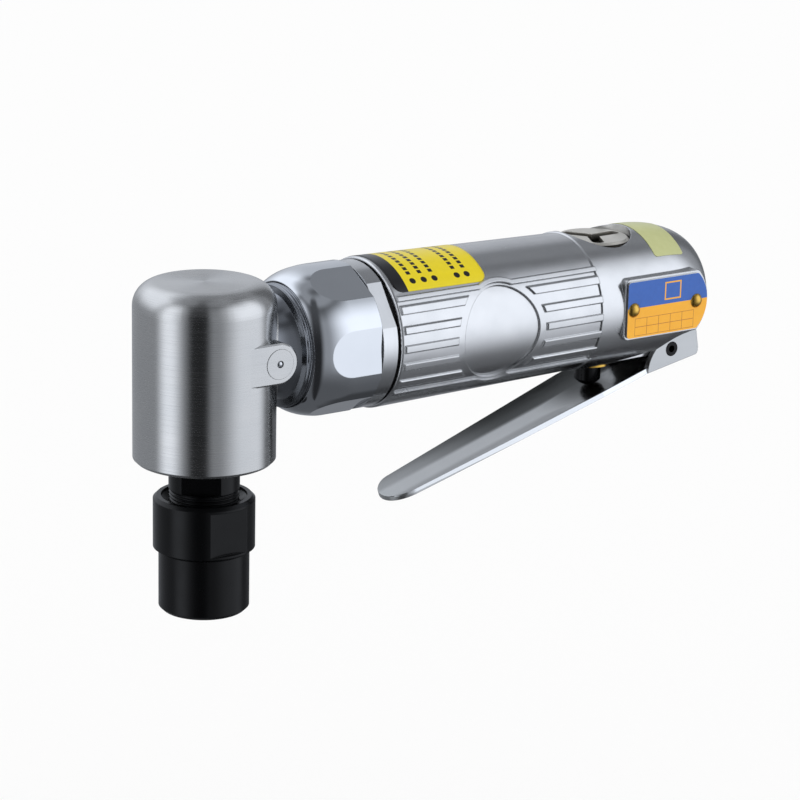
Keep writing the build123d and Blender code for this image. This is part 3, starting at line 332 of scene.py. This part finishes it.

# %% [markdown]
# The lever is pressed from steel sheet and nickelled, then buffed by hand. Its rolled-down edges get
# a painted highlight, and the trough's floor gets painted shade along its far side, at its near corner and
# at the end under the valve. It could be painted by hand on an unwrapped mesh. Here the way a face looks
# tells floor, corner and edge apart, and the place along the lever gives the painted shade's strength.

# %% Pressed lever steel
pressed_steel, tree, shader, place = turned_steel("pressed_nickel_steel", "#ACAEAE", (6.0, 1.2, 1.2), 0.17,
                                                  1.0e-7)
along = add(tree, "SeparateXYZ", {0: place}).outputs["X"]
looks = add(tree, "SeparateXYZ", {0: add(tree, "NewGeometry").outputs["Normal"]})
share = {}
# Each share goes smoothly from its first level, below one value, to its second, above the other
for name, value, low, high, first, second in (
        ("far side", looks.outputs["Y"], -0.09, -0.03, 1.0, 0.0),
        ("towards the valve", along, 50 * mm, 88 * mm, 0.3, 0.92),
        ("near corner", looks.outputs["Y"], 0.08, 0.17, 0.0, 0.4),
        ("from the valve", along, 92 * mm, 106 * mm, 0.0, 0.9),
        ("up to the pin", along, 110 * mm, 116 * mm, 1.0, 0.0),
        ("floor", looks.outputs["Z"], 0.7, 0.8, 0.0, 1.0),
        ("painted edge highlight", looks.outputs["Y"], -0.7, -0.5, 1.0, 0.0),
        ("not underneath", looks.outputs["Z"], 0.15, 0.3, 0.0, 1.0)):
    share[name] = add(tree, "MapRange", {"Value": value, "From Min": low, "From Max": high, "To Min": first,
                                         "To Max": second}, interpolation_type="SMOOTHSTEP").outputs[0]
for name, one, operation, other in (
        ("far side", "far side", "MULTIPLY", "towards the valve"),
        ("valve end", "from the valve", "MULTIPLY", "up to the pin"),
        ("film", "far side", "MAXIMUM", "near corner"),
        ("film", "film", "MAXIMUM", "valve end"),
        ("film", "film", "MULTIPLY", "floor"),
        ("painted edge highlight", "painted edge highlight", "MULTIPLY", "not underneath")):
    share[name] = add(tree, "Math", {0: share[one], 1: share[other]}, operation=operation).outputs[0]
# The film share is painted shade and the edge share is a painted highlight, both mixed into the steel's
# colour.
buffed = shader.inputs["Base Color"].links[0].from_socket
bright = add(tree, "Mix", {0: share["painted edge highlight"], 6: buffed, 7: linear("#DFE1E3")}, data_type="RGBA")
painted_dark = add(tree, "Mix", {0: share["film"], 6: bright.outputs[2], 7: linear("#2A2C2B")},
           data_type="RGBA").outputs[2]
tree.links.new(painted_dark, shader.inputs["Base Color"])
shader.inputs["Metallic"].default_value = 0.92
print("lever steel nodes:", len(tree.nodes))

# %% [markdown]
# The housing is die-cast aluminium, tumbled bright: soft reflections with a faint cloudiness and fine pits.
# The coupling nut is chrome over polished steel, close to a mirror. Nickel, brass, ground steel and bronze
# differ from these only in colour, roughness and pits, so one function serves them all.

# %% Tumbled aluminium and chrome
def tumbled_metal(name, code, deep, rough, pit, depth_m, edge_mm):
    """Polished metal: a cloudy shade between two colours, and fine pits of a given size in millimetres."""
    cloud_mm = 7.0
    material, tree, shader = new_finish(name)
    place = add(tree, "TexCoord").outputs["Object"]
    cloud = add(tree, "TexNoise", {"Vector": place, "Scale": 1000.0 / cloud_mm, "Detail": 3.0}).outputs[0]
    pits = add(tree, "TexNoise", {"Vector": place, "Scale": 1000.0 / pit, "Detail": 2.0}).outputs[0]
    shade = add(tree, "Mix", {0: cloud, 6: linear(code), 7: linear(deep)}, data_type="RGBA")
    dull = add(tree, "MapRange", {"Value": cloud, "From Min": 0.3, "From Max": 0.7, "To Min": rough * 0.85,
                                  "To Max": rough * 1.15})
    edge = add(tree, "Bevel", {"Radius": edge_mm * mm}, samples=4)
    bump = add(tree, "Bump", {"Strength": 1.0, "Distance": depth_m, "Height": pits,
                              "Normal": edge.outputs[0]})
    tree.links.new(shade.outputs[2], shader.inputs["Base Color"])
    tree.links.new(dull.outputs[0], shader.inputs["Roughness"])
    tree.links.new(bump.outputs[0], shader.inputs["Normal"])
    shader.inputs["Metallic"].default_value = 1.0
    return material


cast_aluminium = tumbled_metal("tumbled_cast_aluminium", "#CFCFCF", "#C3C4C5", 0.24, 0.5, 3.0e-7, 0.25)
chrome = tumbled_metal("polished_chrome", "#CFD2D6", "#C8CBCF", 0.09, 1.5, 1.0e-7, 0.2)
nickel = tumbled_metal("satin_nickel", "#E4DFD4", "#D6D1C6", 0.36, 0.4, 3.0e-7, 0.15)
brass = tumbled_metal("polished_brass", "#D8B25C", "#C79E45", 0.24, 0.4, 1.0e-6, 0.1)
bearing_steel = tumbled_metal("ground_bearing_steel", "#CDCFD2", "#C5C7CA", 0.15, 0.8, 5.0e-7, 0.08)
machined_steel = tumbled_metal("machined_steel", "#B5B6B7", "#A3A4A6", 0.3, 0.35, 2.0e-6, 0.1)
bronze = tumbled_metal("sintered_bronze", "#A67C46", "#7D5A30", 0.55, 0.3, 4.0e-5, 0.05)
print("aluminium, chrome, nickel, brass, steels and bronze made")

# %% [markdown]
# The regulator's nickelled face keeps its own colour, while its slot and its rim get painted shade.
# A second material on some faces would leave hard borders. Depth below the face and distance from the axis
# tell the places apart instead, so the painted shade turns with the regulator.

# %% Painted shade in the regulator's slot and rim
shade_start, shade_full, rim_width = 0.3 * mm, 1.6 * mm, 0.28 * mm
tree = nickel.node_tree
shader = tree.nodes["Principled BSDF"]
disc_low, disc_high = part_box("air_regulator")
face_z = disc_high.z
disc_middle = ((disc_low.x + disc_high.x) / 2, 0.0, 0.0)
rim_start = (disc_high.x - disc_low.x) / 2 - rim_width
place = add(tree, "TexCoord").outputs["Object"]
depth_z = add(tree, "SeparateXYZ", {0: place}).outputs["Z"]
painted_shade = add(tree, "MapRange", {"Value": depth_z, "From Min": face_z - shade_full,
                                "From Max": face_z - shade_start, "To Min": 0.95, "To Max": 0.0}).outputs[0]
flat = add(tree, "VectorMath", {0: place, 1: (1.0, 1.0, 0.0)}, operation="MULTIPLY").outputs[0]
out = add(tree, "VectorMath", {0: flat, 1: disc_middle}, operation="DISTANCE").outputs["Value"]
rim = add(tree, "Math", {0: out, 1: rim_start}, operation="GREATER_THAN").outputs[0]
painted_shade = add(tree, "Math", {0: painted_shade, 1: rim}, operation="MAXIMUM").outputs[0]
# The slot gets painted shade, darker the deeper below the face, and so does a thin ring at the rim.
nickel_face = shader.inputs["Base Color"].links[0].from_socket
slot_shade = add(tree, "Mix", {0: painted_shade, 6: nickel_face, 7: linear("#2E2B26")}, data_type="RGBA").outputs[2]
tree.links.new(slot_shade, shader.inputs["Base Color"])
print("regulator face at", round(face_z / mm, 2), "mm")

# %% [markdown]
# The spindle and collet nut are blackened in a hot oxide bath and oiled. The coat is a very dark, slightly
# satin layer that only shows grey where it catches a window, so it is drawn as a glossy layer, not as metal.
# Rubber and vane composite are close kin of it: dark, with a grain and more or less gloss.

# %% Dark finishes
def dark_coat(name, code, deep, rough, grain, depth_m, gloss):
    """A dark layer, not a metal: two shades in soft clouds, a grain in millimetres and a gloss level."""
    cloud_mm, edge_mm = 5.0, 0.2
    material, tree, shader = new_finish(name)
    place = add(tree, "TexCoord").outputs["Object"]
    cloud = add(tree, "TexNoise", {"Vector": place, "Scale": 1000.0 / cloud_mm, "Detail": 3.0}).outputs[0]
    fine = add(tree, "TexNoise", {"Vector": place, "Scale": 1000.0 / grain, "Detail": 2.0}).outputs[0]
    shade = add(tree, "Mix", {0: cloud, 6: linear(code), 7: linear(deep)}, data_type="RGBA")
    dull = add(tree, "MapRange", {"Value": cloud, "From Min": 0.3, "From Max": 0.7, "To Min": rough - 0.05,
                                  "To Max": rough + 0.05})
    edge = add(tree, "Bevel", {"Radius": edge_mm * mm}, samples=4)
    bump = add(tree, "Bump", {"Strength": 1.0, "Distance": depth_m, "Height": fine,
                              "Normal": edge.outputs[0]})
    tree.links.new(shade.outputs[2], shader.inputs["Base Color"])
    tree.links.new(dull.outputs[0], shader.inputs["Roughness"])
    tree.links.new(bump.outputs[0], shader.inputs["Normal"])
    shader.inputs["Specular IOR Level"].default_value = gloss
    return material


black_oxide = dark_coat("black_oxide_steel", "#070809", "#030304", 0.24, 0.35, 5.0e-7, 0.19)
rubber = dark_coat("black_nitrile_rubber", "#121212", "#0A0A0A", 0.6, 0.3, 8.0e-6, 0.3)
vane = dark_coat("phenolic_vane_composite", "#4A3320", "#34240F", 0.5, 0.3, 4.0e-6, 0.5)
print("dark finishes made")

# %% [markdown]
# The name plate is thin aluminium with two fields of baked enamel, blue above and amber below, split at the
# rivets' height. An image would be the usual way to print it. Here places along x and z draw each field,
# so no file is needed.

# %% Plate enamel
split_z = 59.45
grain_mm = 1.2
printed_plate, tree, shader = new_finish("enamelled_aluminium_plate")
place = add(tree, "TexCoord").outputs["Object"]
spot = add(tree, "SeparateXYZ", {0: place})
upper = add(tree, "Math", {0: spot.outputs["Z"], 1: split_z * mm}, operation="GREATER_THAN").outputs[0]
grain = add(tree, "TexNoise", {"Vector": place, "Scale": 1000.0 / grain_mm, "Detail": 2.0}).outputs[0]
blue = add(tree, "Mix", {0: grain, 6: linear("#2F62B8"), 7: linear("#2A59AB")}, data_type="RGBA").outputs[2]
amber = add(tree, "Mix", {0: grain, 6: linear("#F6B42C"), 7: linear("#EFA91F")}, data_type="RGBA").outputs[2]
field = add(tree, "Mix", {0: upper, 6: amber, 7: blue}, data_type="RGBA").outputs[2]
print("plate fields split at", split_z, "mm")

# %% [markdown]
# The amber field has a few ruled cells, the blue one a square outline. The cells are a brick pattern without
# offset, cut to a box of whole cells, and the outline is one box less a smaller one. The enamel is laid only
# on the front, and the cut edge shows bare metal: the way a face looks decides which.

# %% Plate rules
def inside(middle, half):
    """1 within a box given by its middle and half size in millimetres, along x and z."""
    near = [add(tree, "Math", {0: spot.outputs[axis], 1: centre * mm, 2: reach * mm}, operation="COMPARE")
            for axis, centre, reach in zip("XZ", middle, half)]
    return add(tree, "Math", {0: near[0].outputs[0], 1: near[1].outputs[0]}, operation="MULTIPLY").outputs[0]


cell_corner, cell, cells = np.array([108.3, 52.7]), np.array([3.6, 2.1]), np.array([5, 2])
rule, rule_margin = 0.07, 0.05
square, square_half, square_line = np.array([119.6, 62.6]), np.array([2.5, 2.2]), 0.35
flat = add(tree, "CombineXYZ", {0: spot.outputs["X"], 1: spot.outputs["Z"]}).outputs[0]
ruled = add(tree, "Mapping", {"Vector": flat, "Location": (*-cell_corner, 0.0), "Scale": (1000.0,) * 3})
lines = add(tree, "TexBrick", {"Vector": ruled.outputs[0], "Scale": 1.0, "Mortar Size": rule,
                               "Mortar Smooth": 0.0, "Brick Width": cell[0], "Row Height": cell[1]},
            offset=0.0)
in_cells = inside(cell_corner + cells * cell / 2, cells * cell / 2 + rule_margin)
table = add(tree, "Math", {0: lines.outputs["Fac"], 1: in_cells}, operation="MULTIPLY").outputs[0]
outline = add(tree, "Math", {0: inside(square, square_half), 1: inside(square, square_half - square_line)},
              operation="SUBTRACT").outputs[0]
field = add(tree, "Mix", {0: table, 6: field, 7: linear("#A8661C")}, data_type="RGBA").outputs[2]
field = add(tree, "Mix", {0: outline, 6: field, 7: amber}, data_type="RGBA").outputs[2]
looks = add(tree, "NewGeometry").outputs["Normal"]
facing = add(tree, "VectorMath", {0: looks, 1: (0.0, -1.0, 0.0)}, operation="DOT_PRODUCT").outputs["Value"]
printed = add(tree, "Math", {0: facing, 1: 0.7}, operation="GREATER_THAN").outputs[0]
coat = add(tree, "Mix", {0: printed, 6: linear("#C9CBCD"), 7: field}, data_type="RGBA").outputs[2]
bare = add(tree, "Math", {0: 1.0, 1: printed}, operation="SUBTRACT").outputs[0]
bump = add(tree, "Bump", {"Strength": 0.6, "Distance": 2.0e-6, "Height": grain}).outputs[0]
tree.links.new(coat, shader.inputs["Base Color"])
tree.links.new(bare, shader.inputs["Metallic"])
tree.links.new(bump, shader.inputs["Normal"])
shader.inputs["Roughness"].default_value = 0.3
print("plate nodes:", len(tree.nodes))

# %% [markdown]
# Two stickers are wrapped on the barrel: a large yellow one in front and a small pale green one at the rear.
# A sticker follows the metal, so each is a patch of the barrel's own turned surface, lifted by a little more
# than its thickness. One parameter runs along the barrel and the other round it. A flat sheet bent by
# a modifier would need fitting. The UV map counts millimetres, divided by a sheet larger than both stickers.

# %% Sticker patches
barrel_marks = [41.15, 98.60, 99.00, 119.38]
barrel_radii = [17.5, 16.55, 16.85, 16.6]
dome_length, dome_drop = 16.5, 7.0
film_lift, film_thick = 0.09, 0.06
sticker_unit = 50.0


def barrel_radius(x):
    """Radius in mm at a place x along the barrel: two tapers with a small step between them,
    then a quarter of an ellipse."""
    share = np.clip((x - barrel_marks[-1]) / dome_length, 0.0, 1.0)
    return np.interp(x, barrel_marks, barrel_radii) - dome_drop * (1 - np.sqrt(1 - share ** 2))


def sticker(name, start, end, low, high, corner, finish):
    """A patch from start to end (mm) along the barrel and from low to high (degrees) round it, 0 facing -Y.
    A row at the distance d from the lower or upper edge is shortened at both ends
    by corner - sqrt(corner^2 - (corner - d)^2), which rounds the corners."""
    corner_rows, middle_rows, columns = 9, 48, 41
    radius = float(barrel_radius(np.array((start + end) / 2)))
    arc = math.radians(high - low) * radius
    ease = corner * (1 - np.cos(np.linspace(0, math.pi / 2, corner_rows)))
    plain = np.linspace(corner, arc - corner, middle_rows)[1:-1]
    climb = np.concatenate([ease, plain, arc - ease[::-1]])[:, None]
    edge = np.minimum(np.minimum(climb, arc - climb), corner)
    inset = corner - np.sqrt(corner ** 2 - (corner - edge) ** 2)
    x = start + inset + np.linspace(0, 1, columns) * (end - start - 2 * inset)
    theta = math.radians(low) + climb / radius + 0 * x
    lift = barrel_radius(x) + film_lift
    points = np.dstack([x, -lift * np.cos(theta), axis_z + lift * np.sin(theta)]) * mm
    piece = skin(name, points, finish, uv=np.dstack([x - start, climb + 0 * x]) / sticker_unit)
    wall = piece.modifiers.new("film", "SOLIDIFY")
    wall.thickness, wall.offset = film_thick * mm, -1.0
    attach(piece, "casing")
    return piece


print("barrel radius at its ends:", barrel_radius(np.array([barrel_marks[0], barrel_marks[-1]])))

# %% [markdown]
# The stickers are printed vinyl with a clear glossy film on top. Flat colour would look like paint,
# so a faint mottle breaks it up and a slow ripple bends the film's reflections. The green sticker is
# one plain field.

# %% Printed vinyl
def vinyl(name, code, deep):
    """Printed vinyl: a faint mottle between two close colours, under a smooth glossy film."""
    mottle_mm, ripple_mm = 1.5, 4.0
    material, tree, shader = new_finish(name)
    flat = add(tree, "TexCoord").outputs["UV"]
    where = add(tree, "Mapping", {"Vector": flat, "Scale": (sticker_unit,) * 3}).outputs[0]
    mottle = add(tree, "TexNoise", {"Vector": where, "Scale": 1.0 / mottle_mm, "Detail": 3.0}).outputs[0]
    shade = add(tree, "Mix", {0: mottle, 6: linear(code), 7: linear(deep)}, data_type="RGBA").outputs[2]
    ripple = add(tree, "TexNoise", {"Vector": where, "Scale": 1.0 / ripple_mm, "Detail": 1.0}).outputs[0]
    bump = add(tree, "Bump", {"Strength": 1.0, "Distance": 3.0e-6, "Height": ripple}).outputs[0]
    tree.links.new(shade, shader.inputs["Base Color"])
    tree.links.new(bump, shader.inputs["Normal"])
    shader.inputs["Roughness"].default_value = 0.28
    return material, tree, shader, where, shade


green_vinyl = vinyl("pale_green_vinyl", "#C6CA94", "#BABF86")[0]
print("green vinyl made")

# %% [markdown]
# The yellow sticker has a black strip along its front edge, one row of dots and a dashed column above
# each dot. An image could carry them. Drawn in the sticker's own UV map, in millimetres, they follow
# the barrel round and stay sharp from near.

# %% Yellow sticker's print
strip_width = 3.5
dot_places, dot_y, dot_radius = (5.9, 9.0, 12.0, 18.3, 21.1), 2.6, 0.8
dash_half_width, dash_middle, dash_reach, dash_pitch, dash_length = 0.55, 11.3, 7.2, 1.5, 1.05
yellow_vinyl, tree, shader, where, shade = vinyl("yellow_printed_vinyl", "#EAD60A", "#E0CB04")
spot = add(tree, "SeparateXYZ", {0: where})
ink = add(tree, "Math", {0: spot.outputs["X"], 1: strip_width}, operation="LESS_THAN").outputs[0]
rows = add(tree, "Math", {0: spot.outputs["Y"], 1: dash_middle, 2: dash_reach}, operation="COMPARE")
beat = add(tree, "Math", {0: spot.outputs["Y"], 1: dash_pitch}, operation="MODULO").outputs[0]
dash = add(tree, "Math", {0: beat, 1: dash_length}, operation="LESS_THAN").outputs[0]
dashed = add(tree, "Math", {0: rows.outputs[0], 1: dash}, operation="MULTIPLY").outputs[0]
for dot_x in dot_places:
    off = add(tree, "VectorMath", {0: where, 1: (dot_x, dot_y, 0.0)}, operation="DISTANCE").outputs["Value"]
    dot = add(tree, "Math", {0: off, 1: dot_radius}, operation="LESS_THAN").outputs[0]
    column = add(tree, "Math", {0: spot.outputs["X"], 1: dot_x, 2: dash_half_width}, operation="COMPARE")
    dashes = add(tree, "Math", {0: column.outputs[0], 1: dashed}, operation="MULTIPLY").outputs[0]
    for mark in (dot, dashes):
        ink = add(tree, "Math", {0: ink, 1: mark}, operation="MAXIMUM").outputs[0]
inked = add(tree, "Mix", {0: ink, 6: shade, 7: linear("#17171A")}, data_type="RGBA").outputs[2]
tree.links.new(inked, shader.inputs["Base Color"])
sticker("front_sticker", 42.2, 68.0, 42.5, 128.0, 2.4, yellow_vinyl)
sticker("rear_sticker", 118.0, 127.2, 42.5, 118.0, 0.8, green_vinyl)

# %% [markdown]
# Two screw threads show: a narrow ring of the neck's thread before the coupling nut, and a few turns
# of the spindle's thread above the collet nut. The CAD model has a plain groove there, because a thread's
# flanks would make its solid heavy. Here a thread is one closed ring: its outer side is a wave along
# the axis that moves on by one pitch in each turn, and its inner side lies in the metal below.

# %% Screw threads
def thread_ring(name, body, finish, start, end, root, crest, pitch, place):
    """Outer radius at a distance s along the axis and an angle a round it: root - sink + (crest - root)
    times a triangle wave of s / pitch - a / one turn with its tip cut flat, faded to nothing at both ends.
    The last two columns are the ring's inner wall. place turns (s, a, radius) into x, y, z."""
    sink, wall, tip, fade_pitches = 0.05, 0.5, 1.15, 0.35
    per_turn, per_pitch = 240, 14
    turns = np.linspace(0, 1, per_turn, endpoint=False)[:, None]
    along = np.linspace(start, end, int((end - start) / pitch * per_pitch))
    phase = (along / pitch - turns) % 1.0
    wave = np.clip(tip - 2 * tip * np.abs(phase - 0.5), 0.0, 1.0)
    fade = np.clip(np.minimum(along - start, end - along) / (fade_pitches * pitch), 0.0, 1.0)
    outer = root - sink + (crest - root) * wave * fade
    radius = np.hstack([outer, np.full((len(turns), 2), root - wall)])
    along = np.concatenate([along, [end, start]]) + 0 * radius
    points = np.dstack(place(along, 2 * math.pi * turns + 0 * radius, radius)) * mm
    piece = skin(name, points, finish, close_rows=True, close_columns=True)
    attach(piece, body)
    return piece


thread_ring("neck_thread", "casing", satin_steel, 17.95, 19.8, 13.75, 14.15, 0.7,
            lambda s, a, r: (s, -r * np.cos(a), axis_z + r * np.sin(a)))
thread_ring("spindle_thread", "spindle", black_oxide, 24.9, 28.0, 7.55, 7.95, 0.8,
            lambda s, a, r: (r * np.sin(a), r * np.cos(a), s))

# %% [markdown]
# The valve's spring is wound from steel wire and sits out of sight between regulator and valve. It shortens
# when the lever is pulled, which a rigid CAD node can't do. It is wound again here, as a tube along
# a helix inside the node's own box, and the node is hidden.

# %% Valve spring
def coil(name, node, wire, coils, finish):
    """A tube round a helix: the wire's middle turns at an even climb, and each ring of the tube is a circle
    in the upright plane through the axis. wire is the wire's radius. Both ends shrink to a point, and
    the points there are merged."""
    rings_per_coil, points_round = 48, 12
    low, high = np.array([list(corner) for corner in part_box(node)])
    middle = (low + high) / 2
    share = np.concatenate([[0.0], np.linspace(0, 1, rings_per_coil * coils + 1), [1.0]])[:, None]
    angle = 2 * math.pi * coils * share
    around = np.linspace(0, 2 * math.pi, points_round, endpoint=False)
    thick = np.full_like(angle, wire)
    thick[[0, -1]] = 0.0
    reach = (high[1] - low[1]) / 2 - wire + thick * np.cos(around)
    climb = low[2] + wire + (high[2] - low[2] - 2 * wire) * share + thick * np.sin(around)
    points = np.dstack([middle[0] + reach * np.cos(angle), reach * np.sin(angle), climb])
    piece = skin(name, points, finish, close_columns=True, flip=True)
    welded = bmesh.new()
    welded.from_mesh(piece.data)
    bmesh.ops.remove_doubles(welded, verts=welded.verts, dist=1e-7)
    welded.to_mesh(piece.data)
    welded.free()
    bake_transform(piece)
    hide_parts(node)
    return piece


coil("return_spring", "valve_spring", 0.35 * mm, 5, machined_steel)

# %% [markdown]
# Each CAD node already names a material slot in the record. A table turns slots into the finishes above,
# and a few nodes that share a slot but look different get their own.

# %% Dress the CAD nodes
finish_of_slot = {
    "satin_steel": satin_steel, "polished_chrome": chrome, "cast_alloy": cast_aluminium,
    "pressed_steel": pressed_steel, "black_oxide": black_oxide, "machined_steel": machined_steel,
    "bearing_steel": bearing_steel, "brass": brass, "sintered_bronze": bronze, "black_rubber": rubber,
    "vane_composite": vane, "printed_plate": printed_plate}
own_finish = {"lock_ring": ring_steel, "air_regulator": nickel}
for entry in frame["record"]["subparts"]:
    materials = nodes[entry["node"]].data.materials
    materials.clear()
    materials.append(own_finish.get(entry["node"], finish_of_slot[entry["material_slot"]]))
